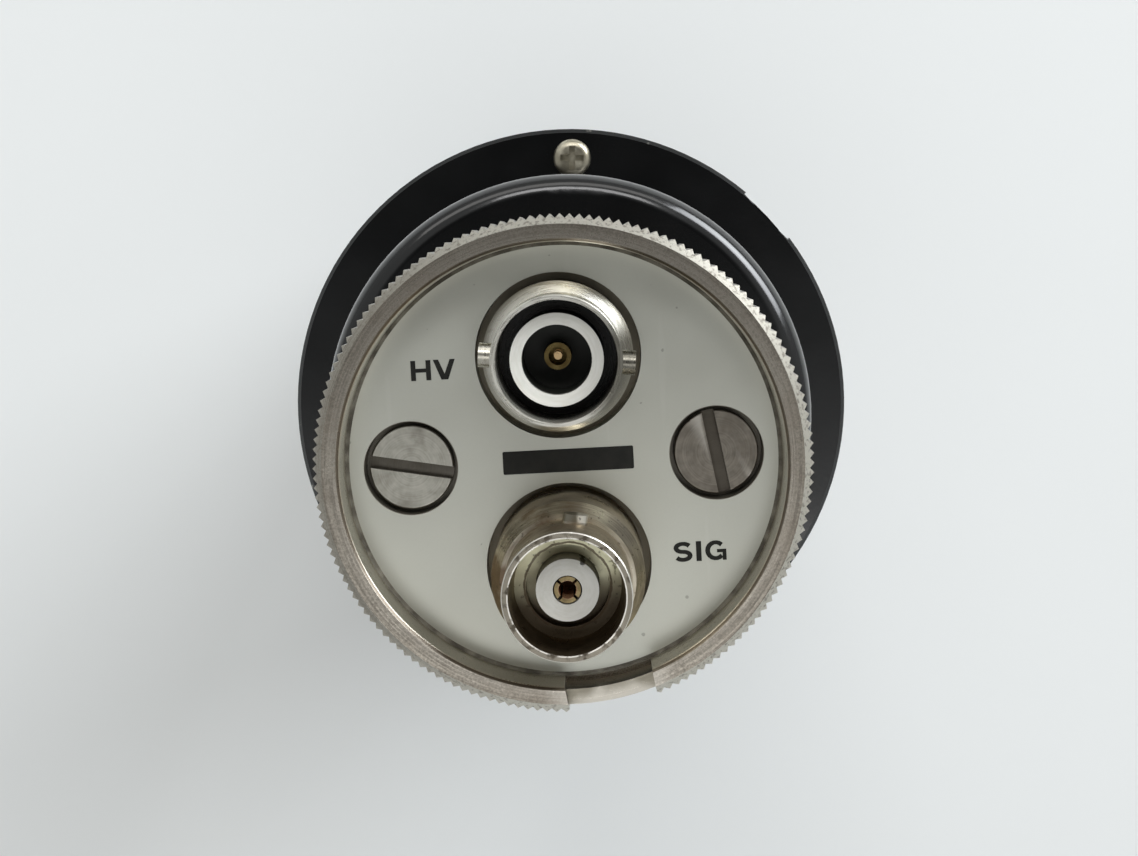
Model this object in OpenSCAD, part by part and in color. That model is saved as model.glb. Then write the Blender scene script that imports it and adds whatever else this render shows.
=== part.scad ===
// Photomultiplier tube in a light-tight turned housing.
// It stands on the front rim of its barrel, with the axis along +Z and the jacks on top.
// Sizes are in millimetres. The high-voltage jack is at +Y and the signal jack at -Y.

/* [Glass tube] */
// Diameter of the glass tube
tube_d = 51; // [46:0.5:56]
// Length of the glass tube
tube_len = 97.5; // [92:0.5:112]
// Thickness of the glass wall
glass_wall = 1.5; // [1:0.1:2.5]
// Thickness of the faceplate that the light enters
faceplate_t = 2.5; // [1.5:0.1:4]
// Thickness of the stem that the pins pass through
stem_t = 4; // [3:0.1:6]
// Rounding of the glass at its rear edge
stem_edge_r = 3; // [2:0.1:4]
// Number of places on the pin circle
pin_places = 16; // [12:2:16]
// Radius of the pin circle
pin_circle_r = 14; // [13.5:0.1:14.5]
// Radius of a pin
pin_r = 0.5; // [0.4:0.05:0.6]
// Length of a pin behind the stem
pin_out = 8; // [6:0.5:9]
// Length of a pin inside the glass
pin_in = 4; // [2:0.5:6]

/* [Electrodes] */
// Number of dynodes
dynode_n = 10; // [8:1:11]
// Spacing of the dynodes along the axis
dynode_pitch = 4.4; // [4.2:0.1:4.6]
// Radius of a dynode's curve
dynode_r = 4; // [3:0.1:4.2]
// Angle that a dynode's curve spans
dynode_span = 130; // [100:5:135]
// Distance of a dynode's centre of curve from the axis
dynode_offset = 1.5; // [1.2:0.1:2]
// Width of a dynode between the support plates
dynode_w = 19; // [16:0.5:20]
// Thickness of the electrode sheet
sheet_t = 0.5; // [0.3:0.1:0.8]
// Thickness of a support plate
support_t = 1; // [0.6:0.1:1.5]
// Width of a support plate
support_w = 16; // [14:0.5:17]
// Length of a support plate
support_len = 56; // [52:0.5:60]
// Distance from the focus cup to the first dynode's centre
first_dynode = 6; // [5:0.5:7]
// Depth of the focus cup
focus_h = 18; // [12:0.5:24]
// Radius of the opening in the focus cup
focus_hole_r = 5; // [3:0.5:7]
// Number of anode wires
anode_n = 5; // [3:1:7]
// Spacing of the anode wires
anode_pitch = 0.8; // [0.5:0.1:0.9]
// Radius of an anode wire
anode_wire_r = 0.15; // [0.1:0.05:0.2]

/* [Sleeve and shield] */
// Thickness of the insulating sleeve
sleeve_t = 0.5; // [0.3:0.1:1]
// Thickness of the magnetic shield
shield_t = 0.7; // [0.5:0.1:1.5]
// Length of the sleeve and the shield
shield_len = 99; // [90:0.5:112]
// Thickness of the pad behind the tube
pad_t = 9; // [4:0.5:20]
// Width of the pad's seat under the barrel's land
pad_seat = 1.8; // [1:0.1:2]

/* [Barrel] */
// Thickness of the barrel wall
barrel_wall = 1.75; // [1.5:0.05:3]
// Length of the thick rear end that takes the screws
land_len = 12; // [10:0.5:14]
// Bevel of the barrel's edges
barrel_bevel = 0.4; // [0.2:0.1:0.6]
// Depth that the front ring is set back from the rim
front_recess = 1; // [0.5:0.1:2]
// Thickness of the front ring
front_ring_t = 4; // [3:0.1:6]
// Width of the front ring
front_ring_w = 4.15; // [3:0.05:6]
// Width of the front ring's spanner slots
spanner_w = 3; // [2:0.1:4]
// Depth of the front ring's spanner slots
spanner_depth = 1.5; // [1:0.1:2.5]
// Thickness of the front gasket
gasket_t = 1.5; // [1:0.1:2.5]

/* [Rear housing] */
// Thickness of the flange
flange_t = 5; // [4:0.1:8]
// Length of the spigot that enters the barrel
spigot_len = 4; // [3:0.1:6]
// Height of the body behind the flange
body_h = 16.9; // [14:0.1:24]
// Rounding of the body's shoulder
shoulder_r = 2; // [1:0.1:3]
// Thickness of the body's wall
body_wall = 3; // [2:0.1:4]
// Thickness of the body's roof
roof_t = 5; // [3.5:0.1:7]
// Length of the neck between the body and the ring
neck_len = 26.4; // [20:0.1:40]
// Step from the neck's threaded end out to the neck
neck_step = 1.2; // [0.8:0.1:1.4]
// Angle of the dent in the flange's rim
dent_angle = 41; // [0:1:359]
// Length of the dent along the rim
dent_len = 6.6; // [3:0.1:10]
// Depth of the dent
dent_depth = 0.45; // [0.2:0.05:0.8]

/* [Flange screws] */
// Number of flange screws
flange_screw_n = 3; // [2:1:6]
// Angle of the first flange screw
flange_screw_angle = 86.6; // [0:0.1:120]
// Distance from the flange's rim to a screw's axis
flange_screw_edge = 3.05; // [2.6:0.05:4]
// Radius of a flange screw's head
flange_head_r = 1.95; // [1.7:0.05:2.2]
// Height of a flange screw's head
flange_head_h = 1.5; // [1.2:0.1:2]
// Rounding of a flange screw's head
flange_head_round = 0.8; // [0.4:0.1:1]
// Radius of a flange screw's shank
flange_shank_r = 1; // [0.8:0.05:1.2]
// Depth that a flange screw enters the barrel
flange_screw_depth = 7; // [5:0.5:8]
// Width of the cross recess
cross_w = 0.6; // [0.4:0.05:0.8]
// Span of the cross recess
cross_span = 2.4; // [1.8:0.1:3]
// Depth of the cross recess
cross_depth = 0.9; // [0.5:0.1:1.1]

/* [Knurled ring] */
// Length of the ring
ring_len = 14; // [13:0.1:20]
// Width of the ring's flat front face
ring_face_w = 1.35; // [1:0.05:2]
// Distance from the front face's edge out to the knurl's crests
ring_edge_w = 0.8; // [0.6:0.05:1]
// Height of the bevel over which the knurl's teeth run out
ring_bevel_h = 0.9; // [0.3:0.05:1.2]
// Number of teeth in the knurl
knurl_n = 160; // [120:2:180]
// Depth of the knurl
knurl_depth = 0.38; // [0.2:0.02:0.5]
// Step from the knurl's roots down to the plain collar behind it
knurl_land = 0.25; // [0.2:0.05:0.5]
// Length of the knurled band
knurl_len = 8; // [5:0.1:10]
// Thickness of the lip that the panel seats on
lip_t = 1.5; // [1:0.1:2]
// Width of the lip that the panel seats on
lip_w = 1.2; // [1:0.05:1.3]
// Bevel of the ring's inner front edge
ring_inner_bevel = 0.25; // [0.1:0.05:0.4]
// Angle of the notch in the ring's front
notch_angle = -81; // [-180:1:180]
// Width of the notch
notch_w = 7; // [4:0.1:10]
// Depth of the notch
notch_depth = 1.7; // [1:0.1:3]
// Depth of the hollow in the ring's bore below the notch
notch_hollow = 0.5; // [0.3:0.05:0.8]

/* [Panel] */
// Diameter of the panel
panel_d = 34.6; // [34:0.1:37]
// Thickness of the panel
panel_t = 3.2; // [3:0.1:4]
// Depth of the panel below the ring's front
panel_recess = 4.5; // [4:0.1:5.5]
// Thickness of the plate that carries the jacks
plate_t = 1.5; // [1:0.1:2]
// Distance from the panel's rim to each jack's axis
jack_edge = 8.9; // [8.7:0.05:9.1]
// Gap round a jack in the panel
jack_gap = 0.65; // [0.3:0.05:0.8]

/* [Panel screws] */
// Distance from the panel's rim to each panel screw's axis
panel_screw_edge = 5.1; // [4.9:0.1:5.5]
// Radius of a panel screw's head
panel_head_r = 3.38; // [3:0.02:3.5]
// Height of a panel screw's head
panel_head_h = 1.6; // [1.2:0.1:1.8]
// Rounding of a panel screw's head
panel_head_round = 0.15; // [0.1:0.05:0.3]
// Depth of a panel screw's head below the panel's face
panel_head_sink = 0.7; // [0.3:0.1:0.9]
// Gap round a panel screw's head
panel_head_gap = 0.36; // [0.2:0.02:0.5]
// Radius of a panel screw's shank
panel_shank_r = 2; // [1.5:0.1:2.2]
// Depth that a panel screw enters its pillar
panel_screw_depth = 8; // [6:0.5:10]
// Width of a panel screw's slot
slot_w = 1; // [0.8:0.05:1.2]
// Depth of a panel screw's slot
slot_depth = 0.8; // [0.5:0.1:1]
// Angle of the left screw's slot
slot_angle_left = -10.6; // [-90:0.1:90]
// Angle of the right screw's slot
slot_angle_right = -80.6; // [-90:0.1:90]

/* [High-voltage jack] */
// Length of the jack in front of its plate
hv_len = 11.3; // [10.5:0.1:13]
// Radius of the jack's barrel
hv_r = 5.05; // [5:0.01:5.2]
// Radius of the jack's collar
hv_collar_r = 5.95; // [5.8:0.05:6.1]
// Length of the jack's collar
hv_collar_len = 4.5; // [4:0.1:5.5]
// Length of the collar's sloped front
hv_cone_len = 0.5; // [0.3:0.05:0.8]
// Radius of the jack's mouth
hv_mouth_r = 4.65; // [4.4:0.05:4.8]
// Depth of the jack's mouth
hv_mouth_depth = 8; // [6:0.1:9]
// Outer radius of the white insulator
hv_insulator_r = 3.6; // [3.4:0.05:3.8]
// Inner radius of the white insulator
hv_insulator_bore_r = 2.7; // [2.5:0.05:2.8]
// Depth of the insulator below the rim
hv_insulator_sink = 1.95; // [1:0.05:3]
// Depth of the contact below the rim
hv_contact_sink = 7; // [6:0.1:8]
// Depth of the insulator's bore
hv_insulator_depth = 7; // [6:0.1:8]
// Radius of the contact
hv_contact_r = 1.07; // [0.9:0.01:1.2]
// Radius of the pin inside the contact
hv_pin_r = 0.33; // [0.25:0.01:0.4]
// Wall of the contact round its pin
hv_contact_wall = 0.35; // [0.25:0.01:0.4]
// Depth of the contact's bore
hv_contact_bore = 3; // [2:0.1:4]
// Depth of the pin's tip below the contact's front
hv_pin_sink = 0.8; // [0.4:0.1:1.5]
// Distance of the lugs below the rim
hv_lug_sink = 3.4; // [3:0.1:4]
// Height of the lugs above the barrel
hv_lug_h = 1; // [0.8:0.05:1.1]
// Angle of the first lug
hv_lug_angle = -6; // [-90:1:90]

/* [Signal jack] */
// Length of the jack in front of its plate
sig_len = 18.1; // [17.5:0.1:20]
// Radius of the jack's barrel
sig_r = 4.83; // [4.75:0.01:4.9]
// Radius of the jack's collar
sig_collar_r = 5.95; // [5.8:0.05:6.1]
// Length of the jack's collar
sig_collar_len = 9.5; // [8:0.1:10]
// Radius of the collar's sloped front at its small end
sig_cone_r = 5.2; // [5:0.05:5.4]
// Length of the collar's sloped front
sig_cone_len = 1.7; // [1:0.1:2]
// Radius of the jack's mouth at the rim
sig_mouth_r = 4.38; // [4.3:0.01:4.5]
// Radius of the jack's tapered bore at its inner end
sig_bore_r = 4.05; // [3.9:0.05:4.2]
// Depth of the jack's bore
sig_bore_depth = 5.1; // [4.5:0.1:5.5]
// Radius of the inner step
sig_step_r = 3.15; // [3:0.05:3.5]
// Depth of the inner step below the rim
sig_step_depth = 6.2; // [6:0.1:8]
// Radius of the white insulator
sig_insulator_r = 2.36; // [2.2:0.02:2.5]
// Depth of the insulator below the rim
sig_insulator_sink = 3.2; // [2.5:0.1:4]
// Radius of the contact
sig_contact_r = 1; // [0.9:0.01:1.05]
// Radius of the contact's hole
sig_contact_bore_r = 0.68; // [0.5:0.02:0.74]
// Depth of the contact's hole
sig_contact_bore = 5; // [4:0.1:7]
// Depth of the contact below the insulator's face
sig_contact_sink = 0.2; // [0.1:0.1:0.5]
// Width of the contact's slots
sig_slot_w = 0.2; // [0.1:0.05:0.3]
// Distance of the lugs below the rim
sig_lug_sink = 5; // [4.5:0.1:5.5]
// Height of the lugs above the barrel
sig_lug_h = 0.68; // [0.5:0.02:0.8]
// Angle of the first lug
sig_lug_angle = 80.6; // [0:0.1:180]

/* [Jack fixings] */
// Radius of a bayonet lug
lug_r = 0.95; // [0.8:0.05:1]
// Bevel of a jack's rim
rim_bevel = 0.08; // [0.04:0.01:0.1]
// Radius of a jack's threaded tail
tail_r = 4.75; // [4.6:0.05:4.9]
// Length of a jack's tail behind the plate's front
tail_len = 8; // [7.5:0.1:10]
// Width of a nut across its flats
nut_flats = 12.5; // [11.5:0.1:13]
// Thickness of a nut
nut_t = 3; // [2.5:0.1:4]
// Radius of a washer
washer_r = 6.6; // [6:0.1:7]
// Thickness of a washer
washer_t = 0.6; // [0.4:0.1:1]
// Thickness of the insulator's rear head
insulator_head_t = 1; // [0.8:0.1:2]
// Radius of the insulator's rear head
insulator_head_r = 4.3; // [4:0.05:4.6]
// Length of a contact's tail behind the insulator
contact_tail = 2; // [1.5:0.1:4]
// Width of the earth tag
tag_w = 3; // [2:0.1:4]
// Reach of the earth tag from its jack's axis
tag_reach = 9; // [7.5:0.1:10]

/* [Divider] */
// Radius of a pillar
pillar_r = 3; // [2.6:0.1:3.2]
// Length of a lower pillar
lower_pillar_len = 20; // [14:0.5:24]
// Radius of the stud that joins two pillars
stud_r = 1.5; // [1:0.1:1.7]
// Length of the stud inside the upper pillar
stud_len = 6; // [4:0.5:8]
// Thickness of the circuit board
board_t = 1.6; // [1:0.1:2.4]
// Thickness of the tube socket
socket_t = 10; // [9:0.5:11]
// Distance from the pin circle to the socket's rim
socket_edge = 1.7; // [1.2:0.1:4]
// Gap between the stem and the socket
socket_gap = 2; // [1:0.1:3]
// Radius of a socket screw's head
socket_head_r = 2.6; // [2:0.1:3]
// Height of a socket screw's head
socket_head_h = 1.5; // [1:0.1:2]
// Depth that a socket screw enters its pillar
socket_screw_depth = 5; // [4:0.5:7]
// Radius of a wire between the socket and the board
wire_r = 0.4; // [0.3:0.05:0.6]
// Radius of the high-voltage lead
hv_lead_r = 1.05; // [0.8:0.05:1.2]
// Radius of the signal lead
sig_lead_r = 0.9; // [0.7:0.05:1.1]
// Number of resistors on each side of the board
resistor_n = 6; // [4:1:6]
// Spacing of the resistors
resistor_pitch = 2.4; // [2.2:0.1:2.8]
// Radius of a resistor
resistor_r = 0.9; // [0.6:0.05:1]
// Length of a resistor's body
resistor_len = 4.2; // [3:0.1:5]
// Reach of a resistor's lead beyond its body
resistor_lead = 0.8; // [0.6:0.1:1]
// Radius of a component's lead
lead_r = 0.25; // [0.2:0.05:0.3]
// Number of capacitors
capacitor_n = 3; // [1:1:3]
// Spacing of the capacitors
capacitor_pitch = 5.6; // [5.4:0.1:5.8]
// Radius of a capacitor
capacitor_r = 2.5; // [2:0.1:2.6]
// Thickness of a capacitor
capacitor_t = 1.6; // [1:0.1:2]
// Height of a capacitor above the board
capacitor_rise = 0.8; // [0.5:0.1:1.5]
// Distance of the capacitors from the axis
capacitor_y = 11.8; // [11.4:0.1:12]

/* [Clearances] */
// Gap of a close fit, on the radius
fit_gap = 0.1; // [0.05:0.01:0.15]
// Gap of a thread, on the radius
thread_gap = 0.05; // [0.03:0.01:0.1]
// Gap round a screw or stud in a plain hole, on the radius
hole_gap = 0.15; // [0.1:0.05:0.3]
// Gap between the shield and the barrel, on the radius
shield_gap = 0.35; // [0.2:0.05:0.5]
// Gap between the focus cup and the glass, on the radius
focus_gap = 0.3; // [0.2:0.05:0.5]
// Gap between the flange screws' heads and the body
head_gap = 0.15; // [0.1:0.05:0.6]
// Gap between the neck's bore and what slides through it
chassis_gap = 0.5; // [0.3:0.05:0.7]
// Room past the end of a screw in its hole
screw_room = 0.5; // [0.3:0.1:1]
// Least gap between the shield's rear end and the barrel's land
shield_end_gap = 1; // [0.5:0.1:5]

/* [Hidden] */
$fn = 96;
// Length by which a cutting shape passes the faces that it cuts
cut = 1;
lug_n = 2;

// Radii from the tube outwards
tube_r = tube_d / 2;
glass_bore_r = tube_r - glass_wall;
sleeve_in_r = tube_r + fit_gap;
sleeve_out_r = sleeve_in_r + sleeve_t;
shield_in_r = sleeve_out_r + fit_gap;
shield_out_r = shield_in_r + shield_t;
barrel_bore_r = shield_out_r + shield_gap;
barrel_r = barrel_bore_r + barrel_wall;
front_ring_r = barrel_bore_r - thread_gap;
aperture_r = front_ring_r - front_ring_w;
screw_circle_r = barrel_r - flange_screw_edge;
body_r = screw_circle_r - flange_head_r - head_gap;
body_bore_r = body_r - body_wall;
spigot_r = body_r - head_gap;
land_r = spigot_r + fit_gap;

// Radii from the panel outwards
panel_r = panel_d / 2;
jack_offset = panel_r - jack_edge;
panel_screw_x = panel_r - panel_screw_edge;
ring_bore_r = panel_r + fit_gap;
lip_r = ring_bore_r - lip_w;
neck_end_r = ring_bore_r - thread_gap;
neck_r = neck_end_r + neck_step;
ring_face_r = ring_bore_r + ring_face_w;
crest_r = ring_face_r + ring_edge_w;
root_r = crest_r - knurl_depth;
bevel_cut = ring_inner_bevel + cut;
plate_r = lip_r - fit_gap;
chassis_r = lip_r - chassis_gap;
socket_r = pin_circle_r + socket_edge;
hv_hole_r = hv_collar_r + jack_gap;
sig_hole_r = sig_collar_r + jack_gap;
counterbore_r = panel_head_r + panel_head_gap;

// Heights from the barrel's front rim
gasket_z = front_recess + front_ring_t;
face_z = gasket_z + gasket_t;
stem_z = face_z + tube_len;
stem_in_z = stem_z - stem_t;
support_z = stem_in_z - support_len;
land_z = face_z + max(tube_len + pad_t, shield_len + shield_end_gap);
barrel_len = land_z + land_len;
flange_z = barrel_len + flange_t;
flange_screw_z = barrel_len - flange_screw_depth;
body_z = flange_z + body_h;
ring_z = body_z + neck_len;
front_z = ring_z + ring_len;
panel_z = front_z - panel_recess;
seat_z = panel_z - panel_t;
plate_z = seat_z - plate_t;
neck_z = seat_z - lip_t;
hv_z = seat_z + hv_len;
sig_z = seat_z + sig_len;
tail_z = seat_z - tail_len;
insulator_z = tail_z - insulator_head_t;
contact_z = insulator_z - contact_tail;
panel_head_z = panel_z - panel_head_sink - panel_head_h;
socket_z = stem_z + socket_gap;
socket_top_z = socket_z + socket_t;
socket_screw_z = socket_top_z + socket_screw_depth;
board_z = socket_top_z + lower_pillar_len;
board_top_z = board_z + board_t;

// The two pin places in line with the pillars stay free
pin_angles = [for (i = [0 : pin_places - 1]) if (i % (pin_places / 2) != 0) i * 360 / pin_places];
pillar_sides = [-1, 1];

// Shapes that repeat

// Round bar between two heights
module bar(r, z0, z1) {
    translate([0, 0, z0])
        cylinder(r = r, h = z1 - z0);
}

// Hole through everything between two heights
module bore(r, z0, z1) {
    bar(r, z0 - cut, z1 + cut);
}

// Plain tube between two heights
module sleeve(r_out, r_in, z0, z1) {
    difference() {
        bar(r_out, z0, z1);
        bore(r_in, z0, z1);
    }
}

// Screw head with a rounded top edge
module pan_head(r, h, round_r, z) {
    translate([0, 0, z])
        rotate_extrude() {
            square([r, h - round_r]);
            square([r - round_r, h]);
            translate([r - round_r, h - round_r])
                intersection() {
                    circle(r = round_r);
                    square(round_r);
                }
        }
}

// Copies of a child round the axis at the pin places
module at_pins() {
    for (angle = pin_angles)
        rotate(angle)
            translate([pin_circle_r, 0, 0])
                children();
}

// Copies of a child on the two pillar axes
module at_pillars() {
    for (side = pillar_sides)
        translate([side * panel_screw_x, 0, 0])
            children();
}

// Copies of a child on the flange screws' axes
module at_flange_screws() {
    for (i = [0 : flange_screw_n - 1])
        rotate(flange_screw_angle + i * 360 / flange_screw_n)
            translate([screw_circle_r, 0, 0])
                children();
}

module at_hv() {
    translate([0, jack_offset, 0])
        children();
}

module at_sig() {
    translate([0, -jack_offset, 0])
        children();
}

// Bayonet lugs that stand out of a jack's barrel of radius r
module lugs(r, h, z, angle) {
    for (i = [0 : lug_n - 1])
        rotate(angle + i * 360 / lug_n)
            translate([0, 0, z])
                rotate([0, 90, 0])
                    cylinder(r = lug_r, h = r + h);
}

module hex_nut() {
    difference() {
        translate([0, 0, plate_z - washer_t - nut_t])
            cylinder(d = nut_flats / cos(30), h = nut_t, $fn = 6);
        bore(tail_r + thread_gap, plate_z - washer_t - nut_t, plate_z - washer_t);
    }
}

// Housing

module barrel() {
    color([0.08, 0.08, 0.085])
        difference() {
            rotate_extrude()
                polygon([
                    [barrel_bore_r, 0], [barrel_r - barrel_bevel, 0], [barrel_r, barrel_bevel],
                    [barrel_r, barrel_len], [land_r, barrel_len], [land_r, land_z], [barrel_bore_r, land_z]
                ]);
            at_flange_screws()
                bar(flange_shank_r + thread_gap, flange_screw_z - screw_room, barrel_len + cut);
        }
}

module front_ring() {
    color([0.1, 0.1, 0.105])
        difference() {
            sleeve(front_ring_r, aperture_r, front_recess, gasket_z);
            translate([-barrel_r, -spanner_w / 2, front_recess - cut])
                cube([2 * barrel_r, spanner_w, spanner_depth + cut]);
        }
}

module front_gasket() {
    color([0.16, 0.16, 0.16])
        sleeve(shield_out_r, aperture_r, gasket_z, face_z);
}

// Half section of the rear housing with its rounded shoulder, before it is bored
module housing_section() {
    translate([0, barrel_len - spigot_len])
        square([spigot_r, spigot_len]);
    polygon([
        [0, barrel_len], [barrel_r, barrel_len], [barrel_r, flange_z - barrel_bevel],
        [barrel_r - barrel_bevel, flange_z], [0, flange_z]
    ]);
    translate([0, flange_z])
        square([body_r, body_h - shoulder_r]);
    translate([0, body_z - shoulder_r])
        square([body_r - shoulder_r, shoulder_r]);
    translate([body_r - shoulder_r, body_z - shoulder_r])
        circle(r = shoulder_r);
    translate([0, body_z])
        square([neck_r, neck_len]);
    translate([0, ring_z])
        square([neck_end_r, neck_z - ring_z]);
}

module rear_housing() {
    color([0.08, 0.08, 0.085])
        difference() {
            rotate_extrude()
                housing_section();
            bore(lip_r, barrel_len - spigot_len, neck_z);
            bar(body_bore_r, barrel_len - spigot_len - cut, body_z - roof_t);
            at_flange_screws()
                bore(flange_shank_r + hole_gap, barrel_len, flange_z);
            rotate(dent_angle)
                translate([barrel_r - dent_depth, -dent_len / 2, barrel_len - cut])
                    cube([dent_depth + cut, dent_len, flange_t + 2 * cut]);
        }
}

module flange_screws() {
    color([0.72, 0.68, 0.6])
        at_flange_screws()
            difference() {
                union() {
                    pan_head(flange_head_r, flange_head_h, flange_head_round, flange_z);
                    bar(flange_shank_r, flange_screw_z, flange_z);
                }
                for (turn = [0, 90])
                    rotate(turn)
                        translate([-cross_span / 2, -cross_w / 2, flange_z + flange_head_h - cross_depth])
                            cube([cross_span, cross_w, cross_depth + cut]);
            }
}

// Knurled ring and panel

// Outline of the knurl, with its even corners on the crests and its odd ones on the roots
function knurl_outline() = [
    for (i = [0 : 2 * knurl_n - 1])
        let (r = i % 2 == 0 ? crest_r : root_r, angle = i * 180 / knurl_n)
            [r * cos(angle), r * sin(angle)]
];

// Toothed band whose front bevel cuts the teeth away towards the ring's face
module knurled_band() {
    bevel_z = front_z - 2 * ring_bevel_h;
    intersection() {
        translate([0, 0, front_z - knurl_len])
            linear_extrude(height = knurl_len)
                polygon(knurl_outline());
        union() {
            bar(crest_r + cut, front_z - knurl_len - cut, bevel_z);
            translate([0, 0, bevel_z])
                cylinder(r1 = crest_r + ring_edge_w, r2 = ring_face_r, h = front_z - bevel_z);
        }
    }
}

// Space of the notch: its floor, the hollow in the bore below it and a strip without teeth
module notch() {
    strip_z = front_z - knurl_len - cut;
    rotate(notch_angle)
        intersection() {
            translate([ring_bore_r / 2, -notch_w / 2, strip_z])
                cube([ring_bore_r, notch_w, front_z + cut - strip_z]);
            union() {
                bar(crest_r + cut, front_z - notch_depth, front_z + cut);
                bar(ring_bore_r + notch_hollow, panel_z, front_z + cut);
                sleeve(crest_r + cut, root_r - knurl_land / 4, strip_z, front_z + cut);
            }
        }
}

module knurled_ring() {
    color([0.62, 0.58, 0.53])
        difference() {
            union() {
                knurled_band();
                bar(root_r - knurl_land, ring_z, front_z - knurl_len);
            }
            bore(lip_r, ring_z, front_z);
            bar(ring_bore_r, seat_z, front_z + cut);
            bar(ring_bore_r, ring_z - cut, neck_z);
            translate([0, 0, front_z - ring_inner_bevel])
                cylinder(r1 = ring_bore_r, r2 = ring_bore_r + bevel_cut, h = bevel_cut);
            notch();
        }
}

module connector_panel() {
    color([0.72, 0.72, 0.7])
        difference() {
            bar(panel_r, seat_z, panel_z);
            at_hv()
                bore(hv_hole_r, seat_z, panel_z);
            at_sig()
                bore(sig_hole_r, seat_z, panel_z);
            at_pillars() {
                bore(panel_shank_r + hole_gap, seat_z, panel_z);
                bar(counterbore_r, panel_head_z, panel_z + cut);
            }
        }
}

module panel_screw(slot_angle) {
    difference() {
        union() {
            pan_head(panel_head_r, panel_head_h, panel_head_round, panel_head_z);
            bar(panel_shank_r, plate_z - panel_screw_depth, panel_head_z);
        }
        rotate(slot_angle)
            translate([-panel_head_r - cut, -slot_w / 2, panel_head_z + panel_head_h - slot_depth])
                cube([2 * (panel_head_r + cut), slot_w, slot_depth + cut]);
    }
}

module panel_screws() {
    color([0.65, 0.63, 0.6]) {
        translate([-panel_screw_x, 0, 0])
            panel_screw(slot_angle_left);
        translate([panel_screw_x, 0, 0])
            panel_screw(slot_angle_right);
    }
}

module connector_plate() {
    color([0.6, 0.6, 0.58])
        difference() {
            bar(plate_r, plate_z, seat_z);
            at_hv()
                bore(tail_r + hole_gap, plate_z, seat_z);
            at_sig()
                bore(tail_r + hole_gap, plate_z, seat_z);
            at_pillars()
                bore(panel_shank_r + hole_gap, plate_z, seat_z);
        }
}

// High-voltage jack

module hv_shell() {
    color([0.75, 0.74, 0.7])
        at_hv()
            difference() {
                union() {
                    rotate_extrude()
                        polygon([
                            [0, tail_z], [tail_r, tail_z], [tail_r, seat_z],
                            [hv_collar_r, seat_z], [hv_collar_r, seat_z + hv_collar_len],
                            [hv_r, seat_z + hv_collar_len + hv_cone_len],
                            [hv_r, hv_z - rim_bevel], [hv_r - rim_bevel, hv_z], [0, hv_z]
                        ]);
                    lugs(hv_r, hv_lug_h, hv_z - hv_lug_sink, hv_lug_angle);
                }
                bore(hv_insulator_r + thread_gap, tail_z, hv_z);
                bar(hv_mouth_r, hv_z - hv_mouth_depth, hv_z + cut);
            }
}

module hv_insulator() {
    color([0.92, 0.92, 0.9])
        at_hv()
            difference() {
                union() {
                    bar(hv_insulator_r, insulator_z, hv_z - hv_insulator_sink);
                    bar(insulator_head_r, insulator_z, tail_z);
                }
                bar(hv_insulator_bore_r, hv_z - hv_insulator_sink - hv_insulator_depth, hv_z);
                bore(hv_contact_r + thread_gap, insulator_z, hv_z);
            }
}

module hv_contact() {
    front = hv_z - hv_contact_sink;
    color([0.8, 0.6, 0.25])
        at_hv() {
            difference() {
                bar(hv_contact_r, contact_z, front);
                bar(hv_contact_r - hv_contact_wall, front - hv_contact_bore, front + cut);
            }
            bar(hv_pin_r, front - hv_contact_bore, front - hv_pin_sink);
        }
}

module hv_washer() {
    color([0.7, 0.7, 0.68])
        at_hv()
            sleeve(washer_r, tail_r + hole_gap, plate_z - washer_t, plate_z);
}

module hv_nut() {
    color([0.7, 0.68, 0.62])
        at_hv()
            hex_nut();
}

// Signal jack

module sig_shell() {
    cone_z = seat_z + sig_collar_len;
    color([0.6, 0.54, 0.46])
        at_sig()
            difference() {
                union() {
                    rotate_extrude()
                        polygon([
                            [0, tail_z], [tail_r, tail_z], [tail_r, seat_z],
                            [sig_collar_r, seat_z], [sig_collar_r, cone_z],
                            [sig_cone_r, cone_z + sig_cone_len], [sig_r, cone_z + sig_cone_len],
                            [sig_r, sig_z - rim_bevel], [sig_r - rim_bevel, sig_z], [0, sig_z]
                        ]);
                    lugs(sig_r, sig_lug_h, sig_z - sig_lug_sink, sig_lug_angle);
                }
                bore(sig_insulator_r + thread_gap, tail_z, sig_z);
                bar(sig_step_r, sig_z - sig_step_depth, sig_z + cut);
                translate([0, 0, sig_z - sig_bore_depth])
                    cylinder(r1 = sig_bore_r, r2 = sig_mouth_r, h = sig_bore_depth + cut);
            }
}

module sig_insulator() {
    color([0.92, 0.92, 0.88])
        at_sig()
            difference() {
                union() {
                    bar(sig_insulator_r, insulator_z, sig_z - sig_insulator_sink);
                    bar(insulator_head_r, insulator_z, tail_z);
                }
                bore(sig_contact_r + fit_gap, insulator_z, sig_z);
            }
}

module sig_contact() {
    front = sig_z - sig_insulator_sink - sig_contact_sink;
    color([0.75, 0.58, 0.3])
        at_sig()
            difference() {
                bar(sig_contact_r, contact_z, front);
                bar(sig_contact_bore_r, front - sig_contact_bore, front + cut);
                for (turn = [45, 135])
                    rotate(turn)
                        translate([-sig_contact_r - cut, -sig_slot_w / 2, front - sig_contact_bore])
                            cube([2 * (sig_contact_r + cut), sig_slot_w, sig_contact_bore + cut]);
            }
}

module earth_tag() {
    color([0.75, 0.72, 0.6])
        at_sig()
            difference() {
                union() {
                    bar(washer_r, plate_z - washer_t, plate_z);
                    translate([-tag_reach, -tag_w / 2, plate_z - washer_t])
                        cube([tag_reach, tag_w, washer_t]);
                }
                bore(tail_r + hole_gap, plate_z - washer_t, plate_z);
            }
}

module sig_nut() {
    color([0.7, 0.68, 0.62])
        at_sig()
            hex_nut();
}

// Shield, sleeve and pad round the tube

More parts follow.
